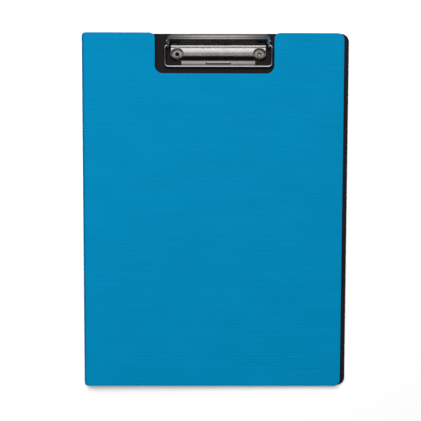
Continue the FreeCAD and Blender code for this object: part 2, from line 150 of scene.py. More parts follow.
def foil_sheet(name, right_x, right_r, z_of, drop_edge, rim_r, seam, inner_in, inner_left, notch=None, cols=(9, 12, 9)):
    """A ribbed foil tray: crest surface, rounded rim, side down to the seam, and the flat inside.
    z_of(drop) gives the height for a depth below the crests."""
    ys = rows_for([notch[2]] if notch else [])
    if notch:
        n0, n1, nd, nr, lr = notch
        cl, cm, cr = cols
    else:
        cl, cm, cr = cols[0], cols[1], cols[2]
        n0, n1, nd, nr, lr = -54.0, 52.0, HALF_L, 7.0, 5.0
    split_a, split_b = n0 + nr, n1 - nr
    ncol = cl + 1 + (cm - 1) + cr + 1
    notch_row = ys.index(min(ys, key=lambda y: abs(y - nd))) if notch else len(ys) - 1

    def place(k, left_in=0.0):
        top = HALF_L - k
        knots = [(-HALF_L, -top), (-150.0, -150.0)]
        if notch:
            knots += [(nd - 5, nd - 5), (nd, nd - k), (nd + nr, nd + nr)]
        knots += [(150.0, 150.0), (HALF_L, top)]
        xs = np.full((len(ys), ncol), np.nan)
        yy = np.zeros((len(ys), ncol))
        for r, y0 in enumerate(ys):
            y = remap(y0, knots)
            a = abs(y)
            xl = FOLD_X + left_in
            if a > HALF_L - 4.0:
                xl = max(xl, -HALF_W + 4.0 - arc_reach(a - (HALF_L - 4.0), 4.0 - k))
            xr = right_x - k
            if a > HALF_L - right_r:
                xr = right_x - right_r + arc_reach(a - (HALF_L - right_r), right_r - k)
            xa, xb = split_a, split_b
            if notch and r > notch_row:
                if y < nd + nr:
                    xa = split_a - arc_reach(nd + nr - y, nr + k)
                    xb = split_b + arc_reach(nd + nr - y, nr + k)
                elif y > HALF_L - lr:
                    xa = n0 - lr + arc_reach(y - (HALF_L - lr), lr - k)
                    xb = n1 + lr - arc_reach(y - (HALF_L - lr), lr - k)
                else:
                    xa, xb = n0 - k, n1 + k
            left = np.linspace(xl, xa, cl + 1)
            mid = np.linspace(xa, xb, cm + 1)[1:-1]
            right = np.linspace(xb, xr, cr + 1)
            xs[r, :] = np.concatenate([left, mid, right])
            yy[r, :] = y
        return xs, yy

    ca, cb = cl, cl + cm      # columns at the notch's two sides
    last = len(ys) - 1
    exists = np.ones((len(ys), ncol), bool)
    if notch:
        exists[notch_row + 1:, ca + 1:cb] = False
    verts, faces = [], []
    index = -np.ones((len(ys), ncol), int)
    xs, yy = place(rim_r)
    depth = rib(xs, yy) * drop_edge(xs, yy)
    for r in range(len(ys)):
        for c in range(ncol):
            if exists[r, c]:
                index[r, c] = len(verts)
                verts.append((xs[r, c], yy[r, c], z_of(depth[r, c])))
    for r in range(last):
        for c in range(ncol - 1):
            q = (index[r, c], index[r, c + 1], index[r + 1, c + 1], index[r + 1, c])
            if min(q) >= 0:
                if notch and r >= notch_row and ca <= c < cb:
                    continue
                faces.append(q)
    loop = [(0, c) for c in range(ncol)] + [(r, ncol - 1) for r in range(1, last + 1)]
    if notch:
        loop += [(last, c) for c in range(ncol - 2, cb - 1, -1)]
        loop += [(r, cb) for r in range(last - 1, notch_row - 1, -1)]
        loop += [(notch_row, c) for c in range(cb - 1, ca - 1, -1)]
        loop += [(r, ca) for r in range(notch_row + 1, last + 1)]
        loop += [(last, c) for c in range(ca - 1, -1, -1)]
    else:
        loop += [(last, c) for c in range(ncol - 2, -1, -1)]
    loop += [(r, 0) for r in range(last - 1, 0, -1)]
    ring = [index[r, c] for r, c in loop]
    steps = []
    for t in (22.5, 45.0, 67.5, 90.0):
        a = math.radians(t)
        steps.append((rim_r * (1 - math.sin(a)), rim_r * (1 - math.cos(a)), 0.0, 1.0 - t / 90.0))
    steps.append((0.0, seam, 0.0, 0.0))
    steps.append((inner_in, seam, inner_left, 0.0))
    steps.append((inner_in, SKIN_T + 0.02, inner_left, 0.0))
    for k, drop, left_in, share in steps:
        kx, ky = place(k, left_in)
        new = []
        for r, c in loop:
            extra = share * float(rib(kx[r, c], ky[r, c])) * float(drop_edge(kx[r, c], ky[r, c]))
            new.append(len(verts))
            verts.append((kx[r, c], ky[r, c], z_of(drop + extra)))
        n = len(ring)
        for i in range(n):
            j = (i + 1) % n
            faces.append((ring[i], ring[j], new[j], new[i]))
        ring = new
    faces.append(tuple(ring))
    return np.array(verts, float), faces


def strip_rows():
    return rows_for([])


def end_y(x):
    """Half length of the fold at a given X: its corners are rounded seen from the front."""
    return HALF_L - 4.0 + arc_reach(min(max(-HALF_W + 4.0 - x, 0.0), 4.0), 4.0)


def fold_strip(name, centre, a0, a1, r_out, r_in, ribbed, n=12):
    ys = strip_rows()
    verts, faces = [], []
    angles = np.radians(np.linspace(a0, a1, n + 1))
    grids = []
    for r_base, sign in ((r_out, 1), (r_in, 0)):
        grid = np.zeros((len(ys), n + 1), int)
        for c, a in enumerate(angles):
            x_edge = centre[0] + r_out * math.cos(a)
            top = end_y(x_edge)
            for r, y0 in enumerate(ys):
                y = y0 if abs(y0) < 150 else math.copysign(150 + (abs(y0) - 150) * (top - 150) / 10.0, y0)
                rr = r_base - (float(rib(x_edge, y)) if (ribbed and sign) else 0.0)
                grid[r, c] = len(verts)
                verts.append((centre[0] + rr * math.cos(a), y, centre[1] + rr * math.sin(a)))
        grids.append(grid)
    add_shell(faces, grids[0], grids[1])
    return new_object(name, verts, faces)


def add_shell(faces, outer, inner):
    """Two grids of vertex numbers joined all round into one closed skin."""
    rows, cols = outer.shape
    for r in range(rows - 1):
        for c in range(cols - 1):
            faces.append((outer[r, c], outer[r, c + 1], outer[r + 1, c + 1], outer[r + 1, c]))
            faces.append((inner[r, c], inner[r + 1, c], inner[r + 1, c + 1], inner[r, c + 1]))
    loop = [(0, c) for c in range(cols)] + [(r, cols - 1) for r in range(1, rows)]
    loop += [(rows - 1, c) for c in range(cols - 2, -1, -1)] + [(r, 0) for r in range(rows - 2, 0, -1)]
    for i in range(len(loop)):
        a, b = loop[i], loop[(i + 1) % len(loop)]
        faces.append((outer[a], outer[b], inner[b], inner[a]))


def spine_strip(name):
    ys = strip_rows()
    zs = np.linspace(LOW_C[1], HIGH_C[1], 9)
    verts, faces, grids = [], [], []
    for inner in (False, True):
        grid = np.zeros((len(ys), len(zs)), int)
        for r, y0 in enumerate(ys):
            y = y0 if abs(y0) < 150 else math.copysign(150 + (abs(y0) - 150) * 0.6, y0)
            depth = 0.0 if inner else float(rib(-HALF_W, y))
            for c, z in enumerate(zs):
                grid[r, c] = len(verts)
                verts.append((-HALF_W + (SKIN_T if inner else depth), y, z))
        grids.append(grid)
    add_shell(faces, grids[0], grids[1])
    return new_object(name, verts, faces)


def lathe(name, profile, centre, axis="Z", n=72, angle=30.0):
    """A closed solid of revolution: profile is a loop of (radius, height)."""
    verts, faces, rings = [], [], []
    for r, h in profile:
        if r < 1e-6:
            rings.append([len(verts)] * n)
            verts.append((0, 0, h))
        else:
            rings.append(list(range(len(verts), len(verts) + n)))
            for i in range(n):
                a = 2 * math.pi * i / n
                verts.append((r * math.cos(a), r * math.sin(a), h))
    count = len(rings)
    for k in range(count):
        a, b = rings[k], rings[(k + 1) % count]
        if a[0] == a[1] and b[0] == b[1]:
            continue
        for i in range(n):
            j = (i + 1) % n
            f = [a[i], a[j], b[j], b[i]]
            f = [v for m, v in enumerate(f) if v not in f[:m]]
            if len(f) > 2:
                faces.append(f)
    out = []
    for x, y, z in verts:
        p = (x, y, z) if axis == "Z" else (z, x, y)
        out.append((p[0] + centre[0], p[1] + centre[1], p[2] + centre[2]))
    return new_object(name, out, faces, angle=angle)


def rounded(points, radii, seg=8):
    """A closed or open 2-D polyline with its corners rounded; radii None leaves an end alone."""
    out = []
    n = len(points)
    for i, p in enumerate(points):
        r = radii[i]
        if not r:
            out.append(p)
            continue
        a, b = points[i - 1], points[(i + 1) % n]
        ua = np.array(a, float) - p
        ub = np.array(b, float) - p
        ua /= np.linalg.norm(ua)
        ub /= np.linalg.norm(ub)
        half = math.acos(max(-1, min(1, float(ua @ ub)))) / 2
        t = r / math.tan(half)
        bis = (ua + ub) / np.linalg.norm(ua + ub)
        c = np.array(p, float) + bis * r / math.sin(half)
        s = np.array(p, float) + ua * t - c
        e = np.array(p, float) + ub * t - c
        a0, a1 = math.atan2(s[1], s[0]), math.atan2(e[1], e[0])
        d = (a1 - a0 + math.pi) % (2 * math.pi) - math.pi
        for k in range(seg + 1):
            a = a0 + d * k / seg
            out.append((c[0] + r * math.cos(a), c[1] + r * math.sin(a)))
    return out


def tube_data(points, radius, sides=20, cap=0.25):
    """A round bar along points, its ends slightly rounded."""
    pts = [np.array(p, float) for p in points]
    tangents = []
    for i in range(len(pts)):
        d = pts[min(i + 1, len(pts) - 1)] - pts[max(i - 1, 0)]
        tangents.append(d / np.linalg.norm(d))
    up = np.array((0, 0, 1.0)) if abs(tangents[0][2]) < 0.9 else np.array((0, 1.0, 0))
    normal = np.cross(tangents[0], up)
    normal /= np.linalg.norm(normal)
    stations = []
    c = min(cap, radius * 0.6)
    for s, k in ((radius - c, -0.0), ):
        pass
    for i, p in enumerate(pts):
        if i:
            normal = normal - tangents[i] * float(normal @ tangents[i])
            normal /= np.linalg.norm(normal)
        stations.append((p, tangents[i], normal.copy(), radius))
    first, last = stations[0], stations[-1]
    head = [(first[0] + first[1] * (c - c * math.cos(a)), first[1], first[2], radius - c + c * math.sin(a)) for a in (0.0, math.pi / 6, math.pi / 3)]
    tail = [(last[0] - last[1] * (c - c * math.cos(a)), last[1], last[2], radius - c + c * math.sin(a)) for a in (math.pi / 3, math.pi / 6, 0.0)]
    mid = list(stations)
    mid[0] = (first[0] + first[1] * c, first[1], first[2], radius)
    mid[-1] = (last[0] - last[1] * c, last[1], last[2], radius)
    verts, faces = [], []
    rings = []
    for p, t, nrm, r in head + mid + tail:
        b = np.cross(t, nrm)
        rings.append(len(verts))
        for k in range(sides):
            a = 2 * math.pi * k / sides
            verts.append(tuple(p + r * (math.cos(a) * nrm + math.sin(a) * b)))
    for a, b in zip(rings, rings[1:]):
        for k in range(sides):
            m = (k + 1) % sides
            faces.append((a + k, a + m, b + m, b + k))
    faces.append(tuple(rings[0] + k for k in range(sides))[::-1])
    faces.append(tuple(rings[-1] + k for k in range(sides)))
    return verts, faces


def join_data(parts):
    verts, faces = [], []
    for v, f in parts:
        base = len(verts)
        verts += [tuple(p) for p in v]
        faces += [tuple(i + base for i in face) for face in f]
    return verts, faces


# --------------------------------------------------------------- materials
def material(name):
    m = bpy.data.materials.new(name)
    m.use_nodes = True
    nt = m.node_tree
    nt.nodes.clear()
    out = nt.nodes.new("ShaderNodeOutputMaterial")
    bsdf = nt.nodes.new("ShaderNodeBsdfPrincipled")
    nt.links.new(bsdf.outputs["BSDF"], out.inputs["Surface"])
    return m, nt, bsdf


def noise(nt, scale, detail=4.0, rough=0.55, stretch=None):
    coord = nt.nodes.new("ShaderNodeTexCoord")
    source = coord.outputs["Object"]
    if stretch:
        mapping = nt.nodes.new("ShaderNodeMapping")
        mapping.inputs["Scale"].default_value = stretch
        nt.links.new(source, mapping.inputs["Vector"])
        source = mapping.outputs["Vector"]
    n = nt.nodes.new("ShaderNodeTexNoise")
    n.inputs["Scale"].default_value = scale
    n.inputs["Detail"].default_value = detail
    n.inputs["Roughness"].default_value = rough
    nt.links.new(source, n.inputs["Vector"])
    return n


def ramp(nt, source, stops):
    r = nt.nodes.new("ShaderNodeValToRGB")
    els = r.color_ramp.elements
    while len(els) < len(stops):
        els.new(0.5)
    for e, (pos, col) in zip(els, stops):
        e.position = pos
        e.color = (*col, 1.0) if len(col) == 3 else col
    nt.links.new(source, r.inputs["Fac"])
    return r


def where(nt, axis, stops):
    """A factor that follows one object axis: stops are (millimetres, factor), in rising order."""
    coord = nt.nodes.new("ShaderNodeTexCoord")
    parts = nt.nodes.new("ShaderNodeSeparateXYZ")
    nt.links.new(coord.outputs["Object"], parts.inputs["Vector"])
    lo, hi = stops[0][0], stops[-1][0]
    m = nt.nodes.new("ShaderNodeMapRange")
    m.inputs["From Min"].default_value = lo * MM
    m.inputs["From Max"].default_value = hi * MM
    nt.links.new(parts.outputs[axis], m.inputs["Value"])
    return ramp(nt, m.outputs["Result"], [((at - lo) / (hi - lo), (f, f, f)) for at, f in stops])


def times(nt, a, b, kind="MULTIPLY"):
    mix = nt.nodes.new("ShaderNodeMix")
    mix.data_type = "RGBA"
    mix.blend_type = kind
    mix.inputs[0].default_value = 1.0
    nt.links.new(a, mix.inputs[6])
    nt.links.new(b, mix.inputs[7])
    return mix.outputs[2]


def span(nt, source, lo, hi, a=0.3, b=0.7):
    m = nt.nodes.new("ShaderNodeMapRange")
    m.inputs["From Min"].default_value = a
    m.inputs["From Max"].default_value = b
    m.inputs["To Min"].default_value = lo
    m.inputs["To Max"].default_value = hi
    nt.links.new(source, m.inputs["Value"])
    return m


def bump(nt, bsdf, layers):
    """Several height layers, each (source socket, strength, distance in metres)."""
    previous = None
    for source, strength, distance in layers:
        b = nt.nodes.new("ShaderNodeBump")
        b.inputs["Strength"].default_value = strength
        b.inputs["Distance"].default_value = distance
        nt.links.new(source, b.inputs["Height"])
        if previous is not None:
            nt.links.new(previous.outputs["Normal"], b.inputs["Normal"])
        previous = b
    nt.links.new(previous.outputs["Normal"], bsdf.inputs["Normal"])


def blue_foil(name="blue_foil", painted_shade_factor=1.0):
    m, nt, b = material(name)
    broad = noise(nt, 22.0, 3.0, 0.5, (1.0, 2.2, 1.0))
    streak = noise(nt, 900.0, 3.0, 0.6, (0.06, 1.0, 1.0))
    mix = nt.nodes.new("ShaderNodeMix")
    mix.data_type = "FLOAT"
    mix.inputs[0].default_value = 0.45
    nt.links.new(broad.outputs["Fac"], mix.inputs[2])
    nt.links.new(streak.outputs["Fac"], mix.inputs[3])
    # painted_shade_factor below 1 darkens the whole blue as painted shade (used for the fold strips)
    col = ramp(nt, mix.outputs[0], [(0.30, tuple(c * painted_shade_factor for c in BLUE_LO)), (0.70, tuple(c * painted_shade_factor for c in BLUE_HI))])
    nt.links.new(col.outputs["Color"], b.inputs["Base Color"])
    b.inputs["Specular IOR Level"].default_value = 0.02
    r = span(nt, broad.outputs["Fac"], 0.36, 0.46)
    nt.links.new(r.outputs["Result"], b.inputs["Roughness"])
    grain = noise(nt, 3800.0, 3.0, 0.6)
    lines = noise(nt, 1500.0, 2.0, 0.5, (0.08, 1.0, 0.08))
    bump(nt, b, [(lines.outputs["Fac"], 0.38, 0.00008), (grain.outputs["Fac"], 0.25, 0.00003)])
    return m


def black_foil():
    m, nt, b = material("black_lining")
    broad = noise(nt, 30.0, 3.0)
    col = ramp(nt, broad.outputs["Fac"], [(0.35, (0.0085, 0.0073, 0.0090)), (0.65, (0.0108, 0.0092, 0.0112))])
    nt.links.new(col.outputs["Color"], b.inputs["Base Color"])
    b.inputs["Specular IOR Level"].default_value = 0.08
    r = span(nt, broad.outputs["Fac"], 0.42, 0.54)
    nt.links.new(r.outputs["Result"], b.inputs["Roughness"])
    grain = noise(nt, 2600.0, 4.0, 0.65)
    bump(nt, b, [(grain.outputs["Fac"], 0.35, 0.00006)])
    return m


def greyboard():
    m, nt, b = material("greyboard")
    fibre = noise(nt, 1400.0, 6.0, 0.7, (1.0, 0.35, 6.0))
    col = ramp(nt, fibre.outputs["Fac"], [(0.30, (0.20, 0.18, 0.155)), (0.52, (0.30, 0.275, 0.24)), (0.75, (0.42, 0.39, 0.35))])
    nt.links.new(col.outputs["Color"], b.inputs["Base Color"])
    r = span(nt, fibre.outputs["Fac"], 0.80, 0.95)
    nt.links.new(r.outputs["Result"], b.inputs["Roughness"])
    bump(nt, b, [(fibre.outputs["Fac"], 0.6, 0.0001)])
    return m


def nickel(name, low, high, rough, mottle=0.0, mottle_scale=900.0, scratch=0.15, stretch=(0.15, 1.0, 1.0), painted_shading_bands=None, painted_pocket_shadows=None):
    m, nt, b = material(name)
    b.inputs["Metallic"].default_value = 1.0
    cloud = noise(nt, 160.0, 4.0, 0.6)
    col = ramp(nt, cloud.outputs["Fac"], [(0.30, low), (0.70, high)])
    colour_and_painted_shading = col.outputs["Color"]
    # painted reflections and painted shade: bands along Y multiply the colour
    if painted_shading_bands:
        colour_and_painted_shading = times(nt, colour_and_painted_shading, where(nt, "Y", painted_shading_bands).outputs["Color"])
    # painted shadow: dark patches, across X and along Y, where the pockets would shade the sheet
    if painted_pocket_shadows:
        across, along = painted_pocket_shadows
        pocket_shadow_factor = times(nt, where(nt, "X", across).outputs["Color"], where(nt, "Y", along).outputs["Color"], "LIGHTEN")
        colour_and_painted_shading = times(nt, colour_and_painted_shading, pocket_shadow_factor)
    nt.links.new(colour_and_painted_shading, b.inputs["Base Color"])
    rr = span(nt, cloud.outputs["Fac"], rough[0], rough[1])
    nt.links.new(rr.outputs["Result"], b.inputs["Roughness"])
    layers = []
    draw = noise(nt, 2200.0, 3.0, 0.6, stretch)
    layers.append((draw.outputs["Fac"], scratch, 0.00002))
    if mottle:
        spots = noise(nt, mottle_scale, 3.0, 0.6)
        layers.append((spots.outputs["Fac"], mottle, 0.0001))
    bump(nt, b, layers)
    return m


def steel_wire():
    m, nt, b = material("spring_steel")
    b.inputs["Metallic"].default_value = 1.0
    cloud = noise(nt, 700.0, 4.0, 0.6)
    col = ramp(nt, cloud.outputs["Fac"], [(0.30, (0.30, 0.30, 0.31)), (0.70, (0.46, 0.46, 0.47))])
    nt.links.new(col.outputs["Color"], b.inputs["Base Color"])
    rr = span(nt, cloud.outputs["Fac"], 0.24, 0.38)
    nt.links.new(rr.outputs["Result"], b.inputs["Roughness"])
    bump(nt, b, [(cloud.outputs["Fac"], 0.2, 0.00002)])
    return m


BLUE_LO, BLUE_HI = (0.0005, 0.182, 0.358), (0.0008, 0.202, 0.398)
MAT = {
    "blue": blue_foil(),
    "black": black_foil(),
    "board": greyboard(),
    # lever: bands along Y paint reflections and shade (dark groove, bright bead, darker lip and wall); dark patches at
    # the ends paint the pockets' shadows
    "lever": nickel("nickel_lever_painted_shading", (0.60, 0.57, 0.54), (0.74, 0.71, 0.68), (0.10, 0.18), 0.0,
                    painted_shading_bands=[(HALF_L - 12, 0.24), (HALF_L - 9.4, 0.28), (HALF_L - 8.9, 0.65), (HALF_L - 8.0, 0.75), (HALF_L - 7.6, 1), (HALF_L - 6.7, 1),
                          (HALF_L - 6.45, 0.07), (HALF_L - 5.7, 0.07), (HALF_L - 5.3, 0.80), (HALF_L - 4.6, 0.34), (HALF_L - 2.6, 0.26), (HALF_L, 0.24)],
                    painted_pocket_shadows=([(CLIP_X - 50, 0.12), (CLIP_X - 33.2, 0.12), (CLIP_X - 32.4, 1), (CLIP_X + 32.4, 1), (CLIP_X + 33.2, 0.12), (CLIP_X + 50, 0.12)],
                             [(HALF_L - 12, 1), (HALF_L - 10.0, 1), (HALF_L - 9.8, 0.12), (HALF_L - 8.6, 0.12), (HALF_L - 8.4, 1), (HALF_L, 1)])),
    # plate: painted shade under the lever's front and painted reflection bands over the front slope and tongue
    "plate": nickel("nickel_plate_painted_shading", (0.50, 0.478, 0.460), (0.64, 0.616, 0.596), (0.11, 0.19), 1.0, 820.0,
                    painted_shading_bands=[(HALF_L - 31, 0.16), (HALF_L - 28.0, 0.20), (HALF_L - 27.2, 0.32), (HALF_L - 26.4, 0.58), (HALF_L - 25.2, 0.58),
                          (HALF_L - 24.6, 0.30), (HALF_L - 24.0, 0.10), (HALF_L - 22.6, 0.15), (HALF_L - 21.4, 0.6), (HALF_L - 20.0, 1),
                          (HALF_L - 10.0, 1), (HALF_L - 9.6, 0.4), (HALF_L, 0.3)]),
    # wire: the legs painted darker (0.22), painted shade standing for their dark side reflections
    "wire": nickel("nickel_wire", (0.62, 0.605, 0.59), (0.76, 0.74, 0.725), (0.10, 0.16), 0.0, scratch=0.1,
                   painted_shading_bands=[(HALF_L - 32, 1), (HALF_L - 28.6, 1), (HALF_L - 27.4, 0.5), (HALF_L - 22, 0.22), (HALF_L - 14, 0.22), (HALF_L - 12.5, 1), (HALF_L, 1)]),
    "rivet": nickel("nickel_rivet", (0.46, 0.43, 0.40), (0.60, 0.565, 0.53), (0.14, 0.24), 0.25, 1600.0),
    "spring": steel_wire(),
    # left rivet's hollow: near black, painted shade in the recess
    "hollow_left": nickel("rivet_hollow_painted_shade", (0.010, 0.009, 0.009), (0.022, 0.020, 0.019), (0.35, 0.5), 0.2, 1600.0),
    "hollow_right": nickel("rivet_hollow_warm", (0.36, 0.29, 0.24), (0.48, 0.40, 0.34), (0.25, 0.4), 0.2, 1600.0),
    # flanges: rougher finish, and painted lighter than the lever's nickel to stand for their whitish reflection
    "flange": nickel("nickel_flange_painted_light", (0.70, 0.68, 0.66), (0.84, 0.82, 0.80), (0.48, 0.60), 0.0),
    # the folds: the blue foil darkened to 0.62, painted shade along the rounded folds
    "blue_fold_painted_shade": blue_foil("blue_foil_fold_painted_shade", 0.62),
}


def dress(obj, key):
    obj.data.materials.clear()
    obj.data.materials.append(MAT[key])
    return obj


def pierce(obj, r, z0, z1):
    """Round holes through obj at the two rivets."""
    cutters = []
    for side in (-1, 1):
        x, y = CLIP_X + side * 36.75, HALF_L - 19.0
        cutter = lathe("cutter", [(0, z0), (r, z0), (r, z1), (0, z1)], (x, y, 0), n=64)
        mod = obj.modifiers.new("hole", "BOOLEAN")
        mod.operation = "DIFFERENCE"
        mod.solver = "EXACT"
        mod.object = cutter
        cutters.append(cutter)
    bpy.context.view_layer.update()
    cut = bpy.data.meshes.new_from_object(obj.evaluated_get(bpy.context.evaluated_depsgraph_get()))
    obj.modifiers.clear()
    obj.data = cut
    for cutter in cutters:
        bpy.data.objects.remove(cutter)


# --------------------------------------------------------------- the boards
even = lambda x, y: np.ones_like(np.asarray(x, float))

verts, faces = foil_sheet("cover", COVER_RIGHT_X, 6.0, lambda drop: TOP_Z - drop, even, 0.6, 0.8, 2.0, 0.9,
                          notch=NOTCH, cols=(12, 14, 12))
cover = dress(new_object("cover_foil_ribbed", lean(verts), faces), "blue")
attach(cover, "front_cover")
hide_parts("cover_skin")

verts, faces = foil_sheet("back", HALF_W, 7.2, lambda drop: drop, even, 0.7, 0.9, 2.2, 0.9, notch=None, cols=(8, 12, 8))
back = new_object("back_foil_ribbed", verts, faces, smooth=False)
pierce(back, 4.7, -1.0, 1.6)
shade(back)
dress(back, "blue")
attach(back, "back_board")
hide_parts("back_skin")

spine = dress(spine_strip("spine_foil_ribbed"), "blue")
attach(spine, "spine")
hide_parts("spine_skin")

# the foil fold strips use the blue darkened as painted shade
folds = [
    ("rear_fold_foil", LOW_C, 270.0, 180.0, FOLD_R, FOLD_R - SKIN_T, True, "blue_fold_painted_shade", "cover_foil", "rear_hinge_skin", ("back_board", "spine")),
    ("rear_fold_lining", LOW_C, 270.0, 180.0, FOLD_R - SKIN_T, FOLD_R - SKIN_T - LINING_T, False, "black", "lining_foil", "rear_hinge_lining", ("back_board", "spine")),
    ("front_fold_foil", HIGH_C, 180.0, 90.0 - math.degrees(LEAN), FOLD_R, FOLD_R - SKIN_T, True, "blue_fold_painted_shade", "cover_foil", "front_hinge_skin", ("spine", "front_cover")),
    ("front_fold_lining", HIGH_C, 180.0, 90.0 - math.degrees(LEAN), FOLD_R - SKIN_T, FOLD_R - SKIN_T - LINING_T, False, "black", "lining_foil", "front_hinge_lining", ("spine", "front_cover")),
]
for name, centre, a0, a1, r0, r1, ribbed, key, slot, node, pair in folds:
    strip = dress(fold_strip(name, centre, a0, a1, r0, r1, ribbed), key)
    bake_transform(strip)
    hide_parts(node)

for node, key in (("back_core", "board"), ("cover_core", "board"), ("spine_stiffener", "board"),
                  ("back_lining", "black"), ("cover_lining", "black"), ("spine_lining", "black")):
    NODES[node].data.materials.clear()
    NODES[node].data.materials.append(MAT[key])

# ------------------------------------------------------- clip: pressed plate
PLATE_W, PLATE_T, CORNER_R, TONGUE_W = 43.4, 0.8, 5.0, 33.0
ARCH = [(8.9, 0.8), (9.3, 0.9), (9.9, 2.2), (10.4, 2.78), (11.2, 2.92), (12.2, 3.02), (13.8, 3.42), (16.3, 3.75), (19.0, 3.42), (21.2, 2.85), (22.8, 1.75), (23.7, 0.98), (24.3, 0.8), (25.0, 0.8)]


def soft_min(a, b, k):
    h = np.clip(0.5 + 0.5 * (b - a) / k, 0, 1)
    return b * (1 - h) + a * h - k * h * (1 - h)


def catmull(points, x):
    xs = np.array([p[0] for p in points])
    ys = np.array([p[1] for p in points])
    m = np.gradient(ys, xs)
    i = np.clip(np.searchsorted(xs, x) - 1, 0, len(xs) - 2)
    h = xs[i + 1] - xs[i]
    t = np.clip((x - xs[i]) / h, 0, 1)
    a = (1 + 2 * t) * (1 - t) ** 2 * ys[i] + t * (1 - t) ** 2 * h * m[i]
    b = t * t * (3 - 2 * t) * ys[i + 1] + t * t * (t - 1) * h * m[i + 1]
    return a + b


def plate_height(x, d):
    arch = np.where((d > 9.0) & (d < 25.0), catmull(ARCH, np.clip(d, 9.0, 25.0)), PLATE_T)
    ax = np.abs(x)
    edge = PLATE_W - ax
    corner = CORNER_R - np.hypot(np.maximum(ax - (PLATE_W - CORNER_R), 0), np.maximum(d - 19.2, 0))
    edge = np.where((ax > PLATE_W - CORNER_R) & (d > 19.2), corner, edge)
    e = np.clip(edge, 0, 3.4)
    end = 1.2 + np.sqrt(np.maximum(3.4 ** 2 - (3.4 - e) ** 2, 0))
    h = soft_min(arch, end, 0.5)
    h = np.where(d < 9.6, PLATE_T, h)
    for side in (-1, 1):
        r = np.hypot(x - side * 36.75, d - 19.0)
        seat = PLATE_T + np.maximum(r - 3.5, 0) / 0.722
        near = r < 9.0
        h = np.where(near, soft_min(h, seat, 0.35), h)
    bx = np.maximum(np.abs(x) - 10.25, 0)
    r = np.hypot(bx, d - 26.3)
    bead = 0.40 * (0.5 + 0.5 * np.cos(np.clip(r / 1.35, 0, 1) * math.pi))
    h = np.where(d > 24.5, PLATE_T + bead, h)
    return np.maximum(h, PLATE_T)


def plate_width(d):
    if d <= 19.2:
        return PLATE_W
    if d <= 24.2:
        return PLATE_W - CORNER_R + arc_reach(d - 19.2, CORNER_R)
    if d < 24.75:
        t = (d - 24.2) / 0.55
        return TONGUE_W + (PLATE_W - CORNER_R - TONGUE_W) * (1 - t) ** 3
    if d > 28.8:
        return TONGUE_W - 0.9 + arc_reach(d - 28.8, 0.9)
    return TONGUE_W


rows = list(np.arange(3.4, 9.3, 0.6)) + list(np.arange(9.4, 24.2, 0.25)) + [24.18, 24.2, 24.23, 24.27, 24.32, 24.4, 24.5, 24.62, 24.75]
rows += list(np.arange(24.9, 29.6, 0.2)) + [29.6, 29.66, 29.7]
rows = [rows[0]] + [b for a, b in zip(rows, rows[1:]) if b - a > 0.004]
us = np.concatenate([np.linspace(-1, -0.66, 70), np.linspace(-0.66, 0.66, 110)[1:-1], np.linspace(0.66, 1, 70)])
verts, faces, grids = [], [], []
for under in (False, True):
    grid = np.zeros((len(rows), len(us)), int)
    for r, d in enumerate(rows):
        w = plate_width(d)
        x = us * w
        h = plate_height(x, np.full_like(x, d))
        if under:
            h = np.maximum(h - PLATE_T, 0.0)
        for c in range(len(us)):
            grid[r, c] = len(verts)
            verts.append((CLIP_X + x[c], HALF_L - d, BACK_T + h[c]))
    grids.append(grid)
add_shell(faces, grids[0], grids[1])
# ears for the rod, one piece with the plate
ear = rounded([(4.9, 0.05), (10.2, 0.05), (10.2, 3.4), (9.0, 5.3), (6.2, 5.3), (4.9, 3.4)], [0, 0, 1.4, 1.1, 1.1, 1.4], 6)
plate = new_object("base_plate_pressed", verts, faces, smooth=False)
pierce(plate, 2.05, 1.5, 6.0)
shade(plate, 50.0)
dress(plate, "plate")
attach(plate, "back_board")
ears = []
for side in (-1, 1):
    a, b = CLIP_X + side * 43.0, CLIP_X + side * 44.5
    n = len(ear)
    v = [(a, HALF_L - d, BACK_T + h) for d, h in ear] + [(b, HALF_L - d, BACK_T + h) for d, h in ear]
    f = [tuple(range(n)), tuple(range(2 * n - 1, n - 1, -1))] + [(i, (i + 1) % n, n + (i + 1) % n, n + i) for i in range(n)]
    ears.append((v, f))
v, f = join_data(ears)
ear_obj = new_object("base_plate_ears", v, f, angle=30.0)
mod = ear_obj.modifiers.new("edge", "BEVEL")
mod.width = 0.12 * MM
mod.segments = 2
mod.limit_method = "ANGLE"
mod.angle_limit = math.radians(40)
dress(ear_obj, "plate")
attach(ear_obj, "back_board")
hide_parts("clip_base_plate")

# ------------------------------------------------------------ clip: lever
def copy_node(node, name, bevel=None, angle=35.0):
    src = NODES[node]
    mesh = src.data.copy()
    mesh.name = name
    bm = bmesh.new()
    bm.from_mesh(mesh)
    bmesh.ops.remove_doubles(bm, verts=bm.verts, dist=2e-6)
    bmesh.ops.dissolve_limit(bm, angle_limit=math.radians(0.6), verts=bm.verts, edges=bm.edges)
    if bevel:
        edges = [e for e in bm.edges if len(e.link_faces) == 2 and e.calc_face_angle(0) > math.radians(38)]
        bmesh.ops.bevel(bm, geom=edges, offset=bevel * MM, offset_type="OFFSET", segments=2, profile=0.5,
                        affect="EDGES", clamp_overlap=True, miter_outer="ARC")
    bm.to_mesh(mesh)
    bm.free()
    if mesh.attributes.get("custom_normal"):
        mesh.attributes.remove(mesh.attributes["custom_normal"])
    obj = bpy.data.objects.new(name, mesh)
    bpy.context.scene.collection.objects.link(obj)
    shade(obj, angle)
    return obj


lever = dress(copy_node("clip_lever", "press_lever_sheet", bevel=0.12), "lever")
lever.data.materials.append(MAT["flange"])
# the flange faces take the rougher nickel, painted lighter to stand for their whitish reflection
for poly in lever.data.polygons:
    if abs(poly.center.x - CLIP_X * MM) > 0.0437:
        poly.material_index = 1
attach(lever, "press_lever")
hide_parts("clip_lever")

